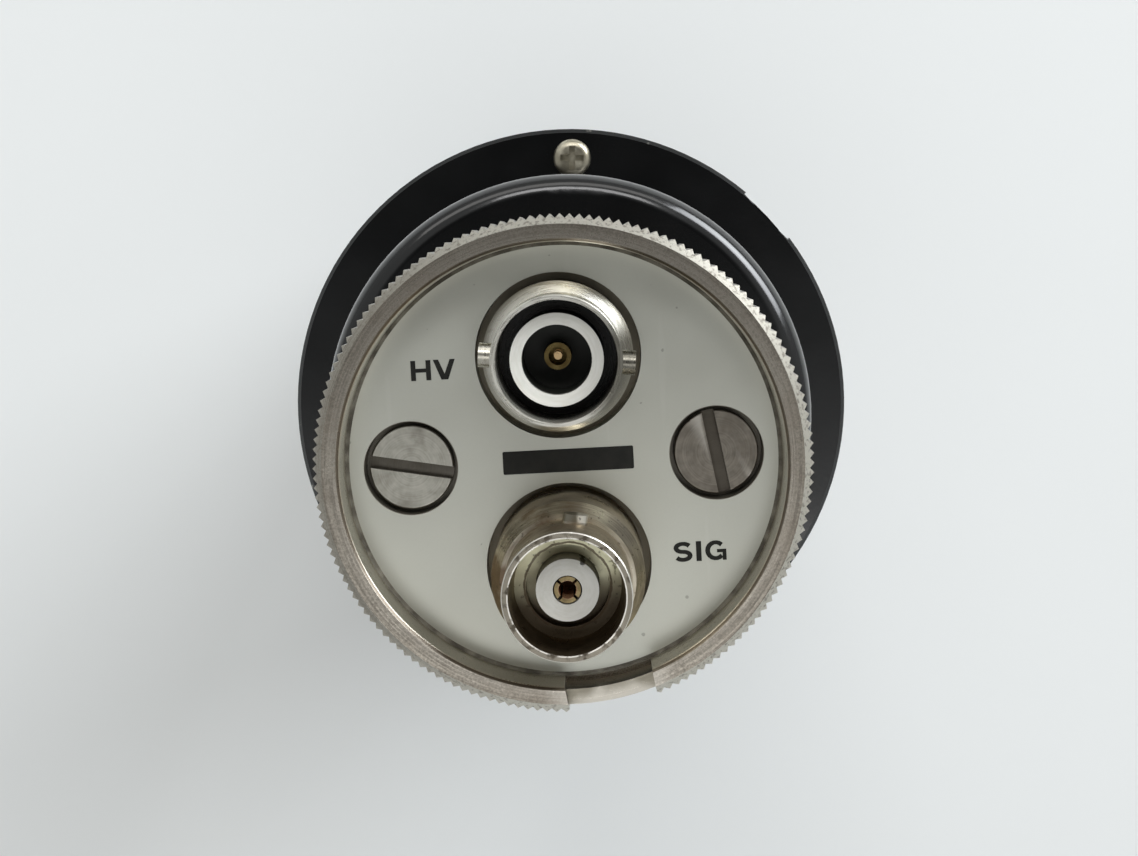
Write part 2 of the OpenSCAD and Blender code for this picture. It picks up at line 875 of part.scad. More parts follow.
module magnetic_shield() {
    color([0.55, 0.55, 0.56])
        sleeve(shield_out_r, shield_in_r, face_z, face_z + shield_len);
}

module insulating_sleeve() {
    color([0.75, 0.62, 0.35])
        sleeve(sleeve_out_r, sleeve_in_r, face_z, face_z + shield_len);
}

module rear_pad() {
    color([0.2, 0.2, 0.2])
        sleeve(land_r + pad_seat, socket_r + fit_gap, stem_z, land_z);
}

// Tube

// Half section of the closed glass, with its rear edge rounded
module glass_section() {
    translate([0, face_z])
        square([tube_r, tube_len - stem_edge_r]);
    translate([0, stem_z - stem_edge_r])
        square([tube_r - stem_edge_r, stem_edge_r]);
    translate([tube_r - stem_edge_r, stem_z - stem_edge_r])
        circle(r = stem_edge_r);
}

module glass_tube() {
    color([0.78, 0.84, 0.82, 0.5])
        difference() {
            rotate_extrude()
                glass_section();
            bar(glass_bore_r, face_z + faceplate_t, stem_in_z);
            at_pins()
                bore(pin_r + thread_gap, stem_in_z, stem_z);
        }
}

module focus_cup() {
    color([0.6, 0.6, 0.6])
        difference() {
            bar(glass_bore_r - focus_gap, support_z - focus_h, support_z);
            bar(glass_bore_r - focus_gap - sheet_t, support_z - focus_h - cut, support_z - sheet_t);
            bore(focus_hole_r, support_z - sheet_t, support_z);
        }
}

// Curved sheet across the support plates, hollow towards the axis
module dynode(side) {
    translate([-dynode_w / 2, side * dynode_offset, 0])
        rotate([90, 0, 90])
            rotate(90 - side * 90 - dynode_span / 2)
                rotate_extrude(angle = dynode_span)
                    translate([dynode_r, 0])
                        square([sheet_t, dynode_w]);
}

module dynodes() {
    color([0.66, 0.64, 0.6])
        for (i = [0 : dynode_n - 1])
            translate([0, 0, support_z + first_dynode + i * dynode_pitch])
                dynode(i % 2 == 0 ? 1 : -1);
}

module anode() {
    last_z = support_z + first_dynode + (dynode_n - 1) * dynode_pitch;
    color([0.6, 0.6, 0.62])
        for (i = [0 : anode_n - 1])
            translate([-dynode_w / 2, 0, last_z + (i - (anode_n - 1) / 2) * anode_pitch])
                rotate([0, 90, 0])
                    cylinder(r = anode_wire_r, h = dynode_w);
}

module support_plates() {
    color([0.85, 0.84, 0.8])
        for (side = [-1, 1])
            translate([side * (dynode_w + support_t) / 2, 0, support_z + support_len / 2])
                cube([support_t, support_w, support_len], center = true);
}

module tube_pins() {
    color([0.7, 0.7, 0.7])
        at_pins()
            bar(pin_r, stem_in_z - pin_in, stem_z + pin_out);
}

// Socket and divider

module tube_socket() {
    color([0.3, 0.2, 0.14])
        difference() {
            bar(socket_r, socket_z, socket_top_z);
            at_pins()
                bar(pin_r + fit_gap, socket_z - cut, stem_z + pin_out + screw_room);
            at_pillars() {
                bore(stud_r + hole_gap, socket_z, socket_top_z);
                bar(socket_head_r + hole_gap, socket_z - cut, socket_z + socket_head_h);
            }
        }
}

module socket_screws() {
    color([0.7, 0.7, 0.68])
        at_pillars() {
            bar(socket_head_r, socket_z, socket_z + socket_head_h);
            bar(stud_r, socket_z + socket_head_h, socket_screw_z);
        }
}

module lower_pillars() {
    color([0.72, 0.66, 0.42])
        at_pillars()
            difference() {
                union() {
                    bar(pillar_r, socket_top_z, board_z);
                    bar(stud_r, board_z, board_top_z + stud_len);
                }
                bar(stud_r + thread_gap, socket_top_z - cut, socket_screw_z + screw_room);
            }
}

module upper_pillars() {
    color([0.72, 0.66, 0.42])
        at_pillars()
            difference() {
                bar(pillar_r, board_top_z, plate_z);
                bar(stud_r + thread_gap, board_top_z - cut, board_top_z + stud_len + screw_room);
                bar(panel_shank_r + thread_gap, plate_z - panel_screw_depth - screw_room, plate_z + cut);
            }
}

module divider_board() {
    color([0.16, 0.32, 0.2])
        difference() {
            bar(chassis_r, board_z, board_top_z);
            at_pillars()
                bore(stud_r + hole_gap, board_z, board_top_z);
        }
}

// Resistor that lies along Y above the surface z = 0
module resistor() {
    span = resistor_len / 2 + resistor_lead;
    translate([0, 0, resistor_r])
        rotate([90, 0, 0]) {
            cylinder(r = resistor_r, h = resistor_len, center = true);
            cylinder(r = lead_r, h = 2 * span, center = true);
        }
    for (side = [-1, 1])
        translate([0, side * (span - lead_r), 0])
            cylinder(r = lead_r, h = resistor_r);
}

module resistors() {
    color([0.75, 0.6, 0.45])
        for (i = [0 : resistor_n - 1])
            translate([(i - (resistor_n - 1) / 2) * resistor_pitch, 0, 0]) {
                translate([0, 0, board_top_z])
                    resistor();
                translate([0, 0, board_z])
                    mirror([0, 0, 1])
                        resistor();
            }
}

module capacitor() {
    translate([0, 0, capacitor_rise + capacitor_r])
        rotate([90, 0, 0])
            cylinder(r = capacitor_r, h = capacitor_t, center = true);
    for (side = [-1, 1])
        translate([side * capacitor_r / 2, 0, 0])
            cylinder(r = lead_r, h = capacitor_rise + capacitor_r);
}

module capacitors() {
    color([0.3, 0.4, 0.7])
        for (i = [0 : capacitor_n - 1])
            translate([(i - (capacitor_n - 1) / 2) * capacitor_pitch, -capacitor_y, board_top_z])
                capacitor();
}

module socket_wires() {
    color([0.7, 0.2, 0.15])
        at_pins()
            bar(wire_r, socket_top_z, board_z);
}

module hv_lead() {
    color([0.7, 0.15, 0.12])
        at_hv()
            bar(hv_lead_r, board_top_z, contact_z);
}

module signal_lead() {
    color([0.2, 0.2, 0.2])
        at_sig()
            bar(sig_lead_r, board_top_z, contact_z);
}

barrel();
front_ring();
front_gasket();
rear_housing();
flange_screws();
knurled_ring();
connector_panel();
panel_screws();
connector_plate();
hv_shell();
hv_insulator();
hv_contact();
hv_washer();
hv_nut();
sig_shell();
sig_insulator();
sig_contact();
earth_tag();
sig_nut();
magnetic_shield();
insulating_sleeve();
rear_pad();
glass_tube();
focus_cup();
dynodes();
anode();
support_plates();
tube_pins();
tube_socket();
socket_screws();
lower_pillars();
upper_pillars();
divider_board();
resistors();
capacitors();
socket_wires();
hv_lead();
signal_lead();
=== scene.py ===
"""Looks of a photomultiplier tube in its black housing, seen on its connector end.

The part stands on the front rim of its barrel. Lengths are in metres, in the frame of the part:
+Z runs along the axis to the jacks, +Y to the high-voltage jack and +X to the right of the picture.
"""

import math

import bmesh
import bpy
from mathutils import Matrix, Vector


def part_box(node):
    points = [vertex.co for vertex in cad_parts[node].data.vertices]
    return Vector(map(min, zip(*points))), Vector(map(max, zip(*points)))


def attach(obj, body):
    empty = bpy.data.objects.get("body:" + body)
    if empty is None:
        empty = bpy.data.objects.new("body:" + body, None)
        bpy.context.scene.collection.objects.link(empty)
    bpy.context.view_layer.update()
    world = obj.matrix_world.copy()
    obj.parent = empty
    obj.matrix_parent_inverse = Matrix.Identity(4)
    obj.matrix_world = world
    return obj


MM = 0.001

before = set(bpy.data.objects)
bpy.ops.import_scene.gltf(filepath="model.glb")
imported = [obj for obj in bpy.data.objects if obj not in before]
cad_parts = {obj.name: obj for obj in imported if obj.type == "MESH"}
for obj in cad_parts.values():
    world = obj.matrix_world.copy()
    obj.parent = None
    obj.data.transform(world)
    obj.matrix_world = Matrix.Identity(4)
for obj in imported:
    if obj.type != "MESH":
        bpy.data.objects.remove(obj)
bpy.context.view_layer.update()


def axis_of(node):
    """Centre of a node across the axis, as a point at height zero."""
    low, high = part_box(node)
    return Vector(((low.x + high.x) / 2, (low.y + high.y) / 2, 0))


# Small sizes that the boxes of the solids don't tell

FLANGE_SCREW_H = 1.5 * MM
SCREW_GAP = 0.36 * MM
PANEL_GAP = 0.1 * MM
NOTCH_DEPTH = 1.68 * MM
NOTCH_HOLLOW = 0.5 * MM

# Places on the part, from its own solids; the panel's two screws lie on the X axis

MAIN_AXIS = Vector((0, 0, 0))
HV_AXIS = axis_of("hv_insulator")
SIG_AXIS = axis_of("sig_insulator")
PANEL_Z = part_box("connector_panel")[1].z
RING_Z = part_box("knurled_ring")[1].z
FLANGE_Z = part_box("flange_screws")[1].z - FLANGE_SCREW_H
HV_RIM_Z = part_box("hv_shell")[1].z
HV_WHITE_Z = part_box("hv_insulator")[1].z
SIG_RIM_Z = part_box("sig_shell")[1].z
BARREL_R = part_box("barrel")[1].x
SCREW_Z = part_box("panel_screws")[1].z
SCREW_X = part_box("panel_screws")[1].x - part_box("panel_screws")[1].y
SCREW_HOLE_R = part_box("panel_screws")[1].y + SCREW_GAP
RING_BORE_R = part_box("connector_panel")[1].x + PANEL_GAP
NOTCH_WALL_R = RING_BORE_R + NOTCH_HOLLOW
NOTCH_Z = RING_Z - NOTCH_DEPTH

# Single marks

SPECK_AT = Vector((9.29 * MM, -11.51 * MM, 0))
NICK_AT = SIG_AXIS + Vector((1.2 * MM, 1.98 * MM, 0))

# Stretches over which a finish changes, each as its start and its end

NOISE_SPAN = (0.3, 0.7)
UPRIGHT = (0.1, 0.3)
FOOT_WEAR_Z = (0.2 * MM, 0.6 * MM)
RIM_WEAR_R = (BARREL_R - 0.5 * MM, BARREL_R - 0.3 * MM)
RING_OUTER_R = (RING_BORE_R + 0.8 * MM, RING_BORE_R + 1.2 * MM)
RING_WALL_R = (RING_BORE_R + 0.02 * MM, RING_BORE_R + 0.08 * MM)
RING_RUBBED_X = (-18 * MM, -3 * MM)
NOTCH_WALL_Z = (PANEL_Z + 0.6 * MM, NOTCH_Z)
SPECK_R = (0.1 * MM, 0.18 * MM)
HOLE_DIRT_R = (SCREW_HOLE_R + 0.01 * MM, SCREW_HOLE_R + 0.06 * MM)
SCREW_SIDE_X = (-2 * MM, 2 * MM)
SCREW_SLOT_Z = (SCREW_Z - 0.5 * MM, SCREW_Z - 0.25 * MM)
HV_MOUTH_R = (4.6 * MM, 4.72 * MM)
HV_MOUTH_Z = (HV_RIM_Z - 0.9 * MM, HV_RIM_Z - 0.5 * MM)
HV_COLLAR_Z = (HV_RIM_Z - 6.9 * MM, HV_RIM_Z - 6.4 * MM)
HV_RIGHT_X = (HV_AXIS.x + 1.8 * MM, HV_AXIS.x + 4.0 * MM)
HV_UPPER_Y = (HV_AXIS.y + 1.0 * MM, HV_AXIS.y + 4.0 * MM)
HV_LOWER_Y = (HV_AXIS.y - 4.5 * MM, HV_AXIS.y + 1.5 * MM)
HV_HOLE_R = (2.72 * MM, 2.77 * MM)
HV_HOLE_DEPTH = (0.1 * MM, 1.3 * MM)
HV_OUTSIDE_DEPTH = (0.25 * MM, 0.5 * MM)
HV_PIN_R = (0.34 * MM, 0.4 * MM)
SIG_BORE_R = (4.37 * MM, 4.41 * MM)
SIG_RIM_EDGE_R = (4.405 * MM, 4.43 * MM)
SIG_RIM_DEPTH = (0.09 * MM, 0.12 * MM)
SIG_LEDGE_DEPTH = (4.9 * MM, 5.05 * MM)
SIG_FOOT_DEPTH = (9.0 * MM, 12.0 * MM)
SIG_LUG_R = (4.95 * MM, 5.05 * MM)
SIG_LUG_DEPTH = (6.2 * MM, 6.5 * MM)
SIG_LUG_LIT_X = (0.85 * MM, 1.15 * MM)
SIG_STAIN_X = (-2.5 * MM, 3.5 * MM)
SIG_UPPER_Y = (SIG_AXIS.y - 1.8 * MM, SIG_AXIS.y + 1.8 * MM)
SIG_PIN_HOLE_R = (0.66 * MM, 0.74 * MM)
NICK_R = (0.5 * MM, 0.6 * MM)

# Bands that a finish covers, each as its start, its end and the softness of both

RIM_WEAR_Z = (FLANGE_Z - 0.5 * MM, FLANGE_Z + 0.1 * MM, 0.1 * MM)
BEVEL_SLOPE = (0.5, 0.8, 0.08)
NOTCH_FLOOR_Z = (NOTCH_Z - 0.12 * MM, NOTCH_Z + 0.13 * MM, 0.04 * MM)
NOTCH_BACK_R = (NOTCH_WALL_R, NOTCH_WALL_R, 0.08 * MM)
TIDE_R = (3.2 * MM, 3.32 * MM, 0.05 * MM)

# How far ragged edges wander, and how close lines lie

TIDE_RAGGED = 0.5 * MM
NICK_RAGGED = 0.7 * MM
RESISTOR_BAND = 1.1 * MM
SCREW_LINES_PER_MM = 7
TURN_BREAKS = 2.5


class Surface:
    """A node material with one Principled shader, and short ways to add nodes to it."""

    def __init__(self, name, roughness=0.5, metallic=0.0, **constants):
        self.material = bpy.data.materials.new(name)
        self.material.use_nodes = True
        self.tree = self.material.node_tree
        self.shader = self.tree.nodes["Principled BSDF"]
        self.place = self.add("ShaderNodeTexCoord").outputs["Object"]
        self.set("Roughness", roughness)
        self.set("Metallic", metallic)
        for socket, value in constants.items():
            self.set(socket.replace("_", " "), value)

    def add(self, kind, **settings):
        """A new node with its settings."""
        node = self.tree.nodes.new(kind)
        for key, value in settings.items():
            setattr(node, key, value)
        return node

    def feed(self, socket, value):
        """Links an output to a socket, or sets the socket to a constant."""
        if isinstance(value, bpy.types.NodeSocket):
            self.tree.links.new(value, socket)
        else:
            socket.default_value = value

    def set(self, name, value):
        """Feeds one input of the shader."""
        self.feed(self.shader.inputs[name], value)

    def math(self, operation, a, b=0.0):
        node = self.add("ShaderNodeMath", operation=operation)
        self.feed(node.inputs[0], a)
        self.feed(node.inputs[1], b)
        return node.outputs[0]

    def times(self, *factors):
        """Product of masks and numbers."""
        product = factors[0]
        for factor in factors[1:]:
            product = self.math("MULTIPLY", product, factor)
        return product

    def average(self, a, b):
        return self.times(self.math("ADD", a, b), 0.5)

    def inverse(self, mask):
        """One where the mask is nought, and nought where it is one."""
        return self.math("SUBTRACT", 1.0, mask)

    def vector(self, operation, a, b=(0, 0, 0)):
        node = self.add("ShaderNodeVectorMath", operation=operation)
        self.feed(node.inputs[0], a)
        self.feed(node.inputs[1], b)
        return node.outputs["Value" if operation == "LENGTH" else "Vector"]

    def noise(self, scale, detail=3.0, place=None, rough=0.5):
        node = self.add("ShaderNodeTexNoise")
        self.feed(node.inputs["Vector"], place or self.place)
        self.feed(node.inputs["Scale"], scale)
        self.feed(node.inputs["Detail"], detail)
        self.feed(node.inputs["Roughness"], rough)
        return node.outputs["Fac"]

    def stretched(self, scale, stretch, detail=3.0):
        """Noise drawn out along the axes where the stretch is small."""
        return self.noise(scale, detail, self.vector("MULTIPLY", self.place, stretch))

    def range(self, value, low, high, to_low=0.0, to_high=1.0):
        """The value's stretch from low to high, mapped smoothly and held at its ends."""
        node = self.add("ShaderNodeMapRange", interpolation_type="SMOOTHSTEP")
        for socket, number in zip(node.inputs[:5], (value, low, high, to_low, to_high)):
            self.feed(socket, number)
        return node.outputs[0]

    def fall(self, value, low, high):
        """One up to low, falling to nought at high."""
        return self.range(value, low, high, 1.0, 0.0)

    def spread(self, noise, to_low=0.0, to_high=1.0):
        """The stretch that holds most of a noise's values, mapped to run from to_low to to_high."""
        return self.range(noise, *NOISE_SPAN, to_low, to_high)

    def band(self, value, low, high, soft):
        """One inside a stretch of values and nought outside it, with soft ends."""
        return self.times(self.range(value, low - soft, low), self.fall(value, high, high + soft))

    def mix(self, factor, a, b):
        """Colour from a to b."""
        node = self.add("ShaderNodeMix", data_type="RGBA")
        self.feed(node.inputs[0], factor)
        for socket, colour in ((node.inputs[6], a), (node.inputs[7], b)):
            self.feed(socket, colour if isinstance(colour, bpy.types.NodeSocket) else (*colour, 1))
        return node.outputs[2]

    def xyz(self, place=None):
        """The three parts of a place or a direction."""
        node = self.add("ShaderNodeSeparateXYZ")
        self.feed(node.inputs[0], place or self.place)
        return node.outputs

    def height(self):
        return self.xyz()[2]

    def radius(self, axis):
        """Distance from an upright axis."""
        flat = self.vector("MULTIPLY", self.vector("SUBTRACT", self.place, axis), (1, 1, 0))
        return self.vector("LENGTH", flat)

    def turned(self, axis, lines_per_mm, detail=2.0):
        """Fine lines round an upright axis, as a lathe leaves them, a little broken up."""
        turn = self.add("ShaderNodeCombineXYZ")
        x, y, z = self.xyz(self.vector("SUBTRACT", self.place, axis))
        self.feed(turn.inputs[0], self.times(self.radius(axis), lines_per_mm / MM))
        self.feed(turn.inputs[1], self.times(self.math("ARCTAN2", y, x), TURN_BREAKS))
        self.feed(turn.inputs[2], self.times(z, lines_per_mm / MM))
        return self.noise(1.0, detail, turn.outputs[0])

    def upward(self):
        """How far the surface faces the jacks' end, from -1 to 1."""
        return self.xyz(self.add("ShaderNodeNewGeometry").outputs["Normal"])[2]

    def worn_edge(self, low, high):
        """Share of edge at a point, from how far the surface bends there."""
        point = self.add("ShaderNodeNewGeometry").outputs["Pointiness"]
        return self.range(point, low, high)

    def bump(self, height, depth_mm, strength=1.0):
        node = self.add("ShaderNodeBump")
        self.feed(node.inputs["Strength"], strength)
        self.feed(node.inputs["Distance"], depth_mm * MM)
        self.feed(node.inputs["Height"], height)
        self.set("Normal", node.outputs[0])


# Finishes of the housing

def black_finish():
    """Glossy black enamel: orange peel, a little dust, handling marks on the sides and chipped rims."""
    s = Surface("black_finish", Specular_IOR_Level=0.5, Coat_Weight=0.5, Coat_Roughness=0.08)
    cloud = s.noise(120, 4)
    peel = s.noise(2600, 2)
    dust = s.range(s.noise(5200, 2), 0.68, 0.76)
    side = s.fall(s.upward(), *UPRIGHT)
    scuff = s.range(s.stretched(700, (1.0, 1.0, 0.04), 3), 0.62, 0.72)
    smudge = s.times(s.range(s.noise(48, 4), 0.42, 0.62, 0.0, 0.16), side)
    black = s.mix(cloud, (0.0018, 0.0019, 0.002), (0.0034, 0.0036, 0.0038))
    dusty = s.mix(s.times(dust, 0.12), black, (0.12, 0.12, 0.12))
    rubbed = s.mix(s.times(scuff, side, 0.12), dusty, (0.13, 0.13, 0.13))
    chipped = rim_chips(s)
    s.set("Base Color", s.mix(chipped, rubbed, (0.26, 0.25, 0.23)))
    s.set("Metallic", s.times(chipped, 0.8))
    s.set("Roughness", s.math("ADD", s.spread(cloud, 0.13, 0.2), smudge))
    s.bump(s.math("ADD", peel, s.times(cloud, 0.6)), 0.01, 0.4)
    return s.material


def rim_chips(s):
    """Chips in the enamel round the barrel's front rim and the flange's edge."""
    foot = s.fall(s.height(), *FOOT_WEAR_Z)
    top = s.band(s.height(), *RIM_WEAR_Z)
    edge = s.range(s.radius(MAIN_AXIS), *RIM_WEAR_R)
    chips = s.range(s.noise(900, 4), 0.68, 0.72)
    return s.times(s.math("MAXIMUM", foot, top), edge, chips)


def ring_nickel():
    """Old nickel on the knurled ring: turned lines, a coarse grain, tarnish and bright worn edges."""
    s = Surface("ring_nickel", metallic=1.0)
    radius = s.radius(MAIN_AXIS)
    tone = s.average(s.turned(MAIN_AXIS, 9), s.noise(6500, 3, rough=0.6))
    bevelled = ring_bevels(s, radius, ring_face(s, tone))
    lined = ring_bore(s, radius, bevelled)
    edge = s.worn_edge(0.53, 0.62)
    s.set("Base Color", s.mix(s.times(edge, 0.55), lined, (0.74, 0.7, 0.63)))
    s.set("Roughness", s.spread(tone, 0.36, 0.26))
    s.bump(tone, 0.006, 0.5)
    return s.material


def ring_face(s, tone):
    """Turned face of the ring, stained brown in places, and the plainer floor of its notch."""
    plain = s.mix(s.range(tone, 0.34, 0.68), (0.128, 0.11, 0.088), (0.362, 0.328, 0.275))
    stain = s.range(s.noise(190, 4), 0.42, 0.75, 0.0, 0.45)
    stained = s.mix(stain, plain, (0.2, 0.165, 0.127))
    floor = s.band(s.height(), *NOTCH_FLOOR_Z)
    level = s.range(s.upward(), 0.9, 0.98)
    return s.mix(s.times(floor, level), stained, (0.24, 0.22, 0.175))


def ring_bevels(s, radius, face):
    """Sloping edges of the ring: the inner one dull, the outer one rubbed bright, least on the left."""
    slope = s.band(s.upward(), *BEVEL_SLOPE)
    outer = s.range(radius, *RING_OUTER_R)
    dulled = s.mix(s.times(slope, 0.8), face, (0.13, 0.108, 0.085))
    specks = s.range(s.noise(3300, 3), 0.5, 0.66)
    rubbed = s.mix(s.times(specks, 0.7), (0.7, 0.67, 0.59), (0.2, 0.165, 0.13))
    uneven = s.range(s.xyz()[0], *RING_RUBBED_X, 0.12, 0.88)
    return s.mix(s.times(slope, outer, uneven), s.mix(outer, dulled, face), rubbed)


def ring_bore(s, radius, face):
    """Bore of the ring: a light wall, and a wall behind the notch with a painted dark reflection that
    darkens it towards the face.
    """
    bore = s.range(radius, *RING_WALL_R, 0.85, 0.0)
    lined = s.mix(bore, face, (0.66, 0.62, 0.53))
    behind = s.times(s.band(radius, *NOTCH_BACK_R), s.fall(s.upward(), *UPRIGHT))
    # Painted dark reflection on the wall behind the notch, darkest at the face.
    painted_dark_reflection = s.mix(s.range(s.height(), *NOTCH_WALL_Z), (0.6, 0.55, 0.46), (0.045, 0.035, 0.025))
    return s.mix(behind, lined, painted_dark_reflection)


def panel_satin():
    """Satin panel: clouded silver-grey with small specks, hairline marks and painted shade in the screw
    holes.
    """
    s = Surface("panel_satin")
    cloud = s.noise(70, 3)
    fine = s.noise(7000, 2)
    hair = s.range(s.stretched(700, (1.0, 0.06, 1.0), 2), 0.68, 0.74)
    base = s.mix(s.spread(cloud), (0.5, 0.5, 0.44), (0.56, 0.565, 0.505))
    grainy = s.mix(s.times(fine, 0.12), base, (0.36, 0.35, 0.31))
    marked = s.mix(s.times(hair, 0.08), grainy, (0.7, 0.69, 0.65))
    specks = s.range(s.noise(1500, 0), 0.85, 0.87)
    one_speck = s.fall(s.radius(SPECK_AT), *SPECK_R)
    dirt = s.times(s.math("MAXIMUM", specks, one_speck), 0.4)
    dotted = s.mix(dirt, marked, (0.1, 0.09, 0.075))
    # Painted shade: dark brown in and round the screw holes.
    hole = s.fall(screw_radius(s), *HOLE_DIRT_R)
    s.set("Base Color", s.mix(hole, dotted, (0.2, 0.182, 0.148)))
    s.set("Metallic", s.range(hole, 0.0, 1.0, 0.7, 0.5))
    s.set("Roughness", s.spread(cloud, 0.3, 0.36))
    s.bump(fine, 0.002, 0.5)
    return s.material


def screw_radius(s):
    """Distance from the axis of the nearer panel screw."""
    x, y, _ = s.xyz()
    flat = s.add("ShaderNodeCombineXYZ")
    s.feed(flat.inputs[0], s.math("SUBTRACT", s.math("ABSOLUTE", x), SCREW_X))
    s.feed(flat.inputs[1], y)
    return s.vector("LENGTH", flat.outputs[0])


def screw_turning(s):
    """Fine turned lines round the middle of each panel screw."""
    line = s.add("ShaderNodeCombineXYZ")
    s.feed(line.inputs[0], s.times(screw_radius(s), SCREW_LINES_PER_MM / MM))
    return s.noise(1.0, 2, line.outputs[0])


def screw_steel():
    """Plated screw heads: scuffed and greyed, the right one darker, with painted shade in the slots."""
    s = Surface("screw_steel", metallic=1.0)
    scuff = s.average(screw_turning(s), s.noise(1500, 4))
    cloud = s.noise(420, 4)
    light = s.mix(s.spread(scuff), (0.34, 0.33, 0.285), (0.5, 0.485, 0.43))
    dark = s.mix(s.spread(scuff), (0.15, 0.135, 0.113), (0.25, 0.225, 0.19))
    base = s.mix(s.range(s.xyz()[0], *SCREW_SIDE_X), light, dark)
    stained = s.mix(s.range(cloud, 0.48, 0.7, 0.0, 0.5), base, (0.16, 0.14, 0.115))
    edge = s.worn_edge(0.54, 0.62)
    worn = s.mix(s.times(edge, 0.5), stained, (0.7, 0.67, 0.61))
    # Painted shade: the slots are painted dark brown.
    slot = s.fall(s.height(), *SCREW_SLOT_Z)
    s.set("Base Color", s.mix(s.times(slot, 0.85), worn, (0.05, 0.041, 0.03)))
    s.set("Roughness", s.spread(cloud, 0.32, 0.46))
    s.bump(scuff, 0.015, 0.6)
    return s.material


def flange_steel():
    """Dull plated steel of the small cross-head screws."""
    s = Surface("flange_steel", metallic=1.0)
    cloud = s.noise(900, 4)
    s.set("Base Color", s.mix(s.spread(cloud), (0.4, 0.365, 0.275), (0.62, 0.58, 0.465)))
    s.set("Roughness", s.spread(cloud, 0.3, 0.45))
    s.bump(cloud, 0.02, 0.4)
    return s.material


def corner_painted_shade():
    """Brown-grey painted shade in the corner between the panel and the ring."""
    s = Surface("corner_painted_shade", Specular_IOR_Level=0.2)
    cloud = s.noise(700, 4)
    s.set("Base Color", s.mix(s.spread(cloud), (0.07, 0.062, 0.048), (0.2, 0.185, 0.15)))
    s.set("Roughness", s.spread(cloud, 0.6, 0.8))
    s.bump(s.noise(3000, 3), 0.03, 0.5)
    return s.material


def black_print():
    """Black ink and film on the panel, slightly uneven."""
    s = Surface("black_print", Specular_IOR_Level=0.25)
    cloud = s.noise(900, 4)
    s.set("Base Color", s.mix(s.spread(cloud), (0.0085, 0.0085, 0.007), (0.016, 0.0155, 0.013)))
    s.set("Roughness", s.spread(cloud, 0.42, 0.6))
    s.bump(s.noise(6000, 2), 0.004, 0.4)
    return s.material


# Finishes of the jacks

def hv_nickel():
    """Nickel of the high-voltage jack: a scratched tube, a collar with a painted dark reflection on its
    top, and a mouth painted black as shade.
    """
    s = Surface("hv_nickel", metallic=1.0)
    lines = s.turned(HV_AXIS, 7)
    scratch = s.range(s.noise(1500, 4), 0.6, 0.68)
    # Painted shade: the inside of the mouth is painted black and not metallic.
    mouth = s.times(s.fall(s.radius(HV_AXIS), *HV_MOUTH_R), s.fall(s.height(), *HV_MOUTH_Z))
    # Painted dark reflection: the collar is darker at the top and lighter below.
    lower = s.fall(s.xyz()[1], *HV_LOWER_Y)
    dull = s.mix(lower, (0.2, 0.185, 0.148), (0.4, 0.38, 0.31))
    collar = s.fall(s.height(), *HV_COLLAR_Z)
    shell = s.mix(collar, hv_tube(s, lines, scratch), dull)
    s.set("Base Color", s.mix(mouth, shell, (0.017, 0.013, 0.009)))
    s.set("Metallic", s.inverse(mouth))
    s.set("Roughness", s.spread(lines, 0.24, 0.36))
    s.bump(s.math("ADD", lines, s.times(scratch, 0.5)), 0.012, 0.5)
    return s.material


def hv_tube(s, lines, scratch):
    """Tube of the high-voltage jack: stained and scratched, with painted shade on the right and a painted
    highlight at the top.
    """
    bright = s.mix(s.spread(lines), (0.6, 0.58, 0.51), (0.8, 0.78, 0.71))
    stain = s.range(s.noise(380, 4), 0.5, 0.72, 0.0, 0.5)
    stained = s.mix(stain, bright, (0.44, 0.4, 0.32))
    worn = s.mix(s.times(scratch, 0.5), stained, (0.34, 0.32, 0.28))
    # Painted shade: the right side of the tube is darkened.
    right = s.range(s.xyz()[0], *HV_RIGHT_X, 0.0, 0.9)
    # Painted highlight: the top of the tube is lightened.
    painted_light_above = s.range(s.xyz()[1], *HV_UPPER_Y, 0.0, 0.6)
    return s.mix(painted_light_above, s.mix(right, worn, (0.17, 0.16, 0.132)), (0.9, 0.88, 0.8))


def sig_nickel():
    """Tarnished nickel of the signal jack: browned outside, dark in the bore with painted shade below and
    painted light above, with a worn rim.
    """
    s = Surface("sig_nickel", Specular_Tint=(0.75, 0.68, 0.58, 1))
    radius = s.radius(SIG_AXIS)
    depth = s.math("SUBTRACT", SIG_RIM_Z, s.height())
    level = s.range(s.upward(), 0.8, 0.95)
    cloud = s.noise(300, 5)
    pits = s.range(s.noise(2600, 4), 0.62, 0.7)
    lines = s.turned(SIG_AXIS, 6)
    inside = s.fall(radius, *SIG_BORE_R)
    outer = sig_outside(s, lines, cloud, radius, depth)
    shell = s.mix(inside, outer, sig_bore(s, lines, cloud, radius, level))
    pitted = s.mix(s.times(pits, 0.6), shell, (0.05, 0.037, 0.024))
    rim = s.fall(depth, *SIG_RIM_DEPTH)
    s.set("Base Color", s.mix(rim, pitted, sig_rim(s, radius, level)))
    ledge = s.times(s.range(depth, *SIG_LEDGE_DEPTH), level, inside)
    s.set("Metallic", s.inverse(s.times(ledge, 0.5)))
    s.set("Roughness", s.spread(cloud, 0.26, 0.42))
    s.bump(s.math("SUBTRACT", lines, pits), 0.012, 0.6)
    return s.material


def sig_rim(s, radius, level):
    """Rim of the signal jack: a dull land, worn bright along its edges."""
    chips = s.range(s.noise(1300, 4), 0.36, 0.5)
    land = s.mix(chips, (0.1, 0.085, 0.065), (0.27, 0.245, 0.2))
    inner_edge = s.times(s.fall(radius, *SIG_RIM_EDGE_R), chips)
    worn = s.math("MAXIMUM", s.inverse(level), inner_edge)
    return s.mix(worn, land, (0.86, 0.83, 0.76))


